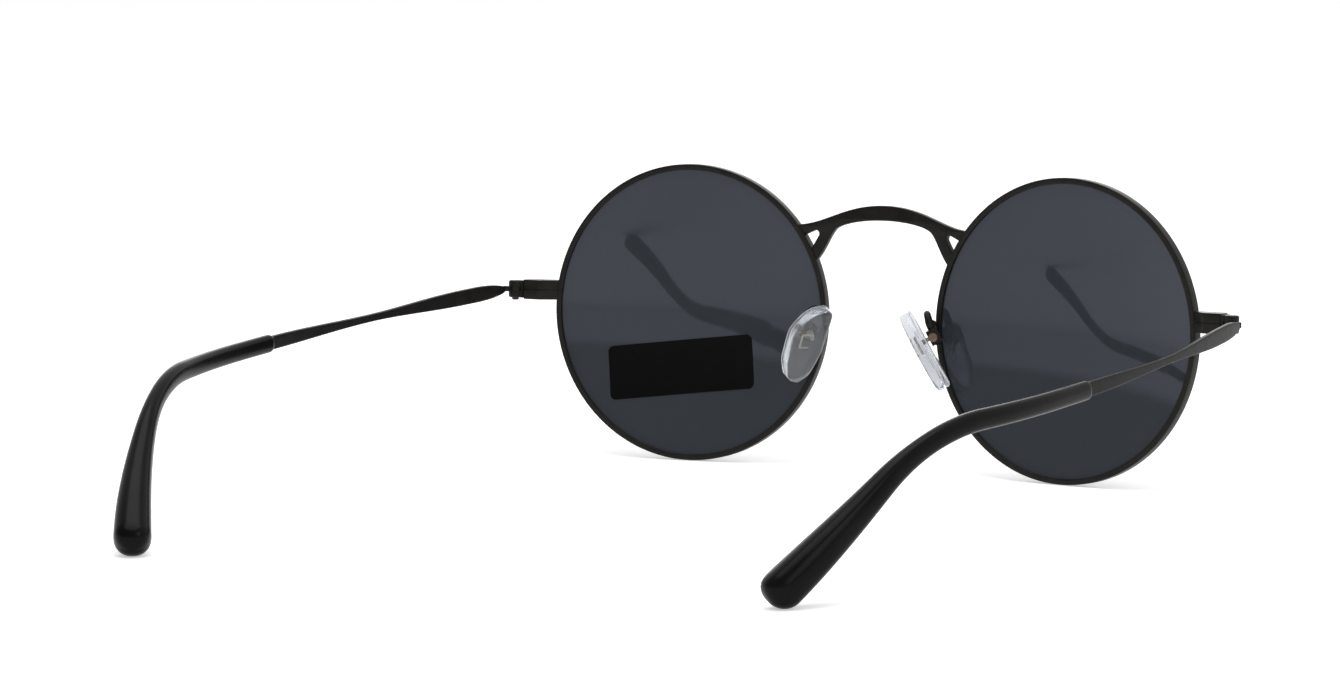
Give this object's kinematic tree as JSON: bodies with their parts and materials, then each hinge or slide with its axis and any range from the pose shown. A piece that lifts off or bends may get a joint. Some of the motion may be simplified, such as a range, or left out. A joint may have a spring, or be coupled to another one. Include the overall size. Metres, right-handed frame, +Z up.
{
  "type": "sunglasses",
  "caption": "Round wire-frame sunglasses with pierced arch bridge, dark polarized lenses, clear nose pads, folding metal temples and black acetate tips.",
  "frame": {"origin": "bottom centre of the bounding box, on the table under the open glasses", "axes": "+X towards the wearer's left, +Y back along the temples towards the ears, +Z up; the front leans back slightly because rims and temple tips stand on the table"},
  "size_m": [0.1524, 0.1424, 0.051],
  "materials": {
    "frame_paint": "dark gunmetal paint, satin",
    "blade": "dark grey paint, satin",
    "tip": "polished black acetate",
    "lens": "polished dark grey polarized lens, nearly opaque",
    "silicone": "clear silicone",
    "pad_screw": "bare brass",
    "screw": "dark plated steel",
    "sticker": "matt black film"
  },
  "bodies": {
    "front": {"left_rim": "frame_paint", "right_rim": "frame_paint", "left_lens": "lens", "right_lens": "lens", "lens_sticker": "sticker", "bridge": "frame_paint", "left_upper_closing_block": "frame_paint", "right_upper_closing_block": "frame_paint", "left_lower_closing_block": "frame_paint", "right_lower_closing_block": "frame_paint", "left_closing_screw": "screw", "right_closing_screw": "screw", "left_front_hinge": "frame_paint", "right_front_hinge": "frame_paint", "left_hinge_screw": "screw", "right_hinge_screw": "screw", "left_pad_arm": "frame_paint", "right_pad_arm": "frame_paint", "left_pad_box": "frame_paint", "right_pad_box": "frame_paint", "left_pad_screw": "pad_screw", "right_pad_screw": "pad_screw"},
    "left_temple": {"left_temple_hinge": "frame_paint", "left_temple": "blade", "left_temple_tip": "tip"},
    "right_temple": {"right_temple_hinge": "frame_paint", "right_temple": "blade", "right_temple_tip": "tip"},
    "left_pad": {"left_pad_core": "silicone", "left_nose_pad": "silicone"},
    "right_pad": {"right_pad_core": "silicone", "right_nose_pad": "silicone"}
  },
  "joints": [
    {"name": "left_temple_fold", "type": "hinge", "parent": "front", "child": "left_temple", "pos_m": [0.06856, -0.06125, 0.02868], "axis": [0, -0.0528, 0.9986], "range_deg": [0, 84]},
    {"name": "right_temple_fold", "type": "hinge", "parent": "front", "child": "right_temple", "pos_m": [-0.06856, -0.06125, 0.02868], "axis": [0, 0.0528, -0.9986], "range_deg": [0, 80]},
    {"name": "left_pad_rock", "type": "hinge", "parent": "front", "child": "left_pad", "pos_m": [0.01228, -0.0638, 0.02373], "axis": [0.4695, 0.8817, 0.0467], "range_deg": [-7, 7]},
    {"name": "right_pad_rock", "type": "hinge", "parent": "front", "child": "right_pad", "pos_m": [-0.01228, -0.0638, 0.02373], "axis": [0.4695, -0.8817, -0.0467], "range_deg": [-7, 7]}
  ]
}
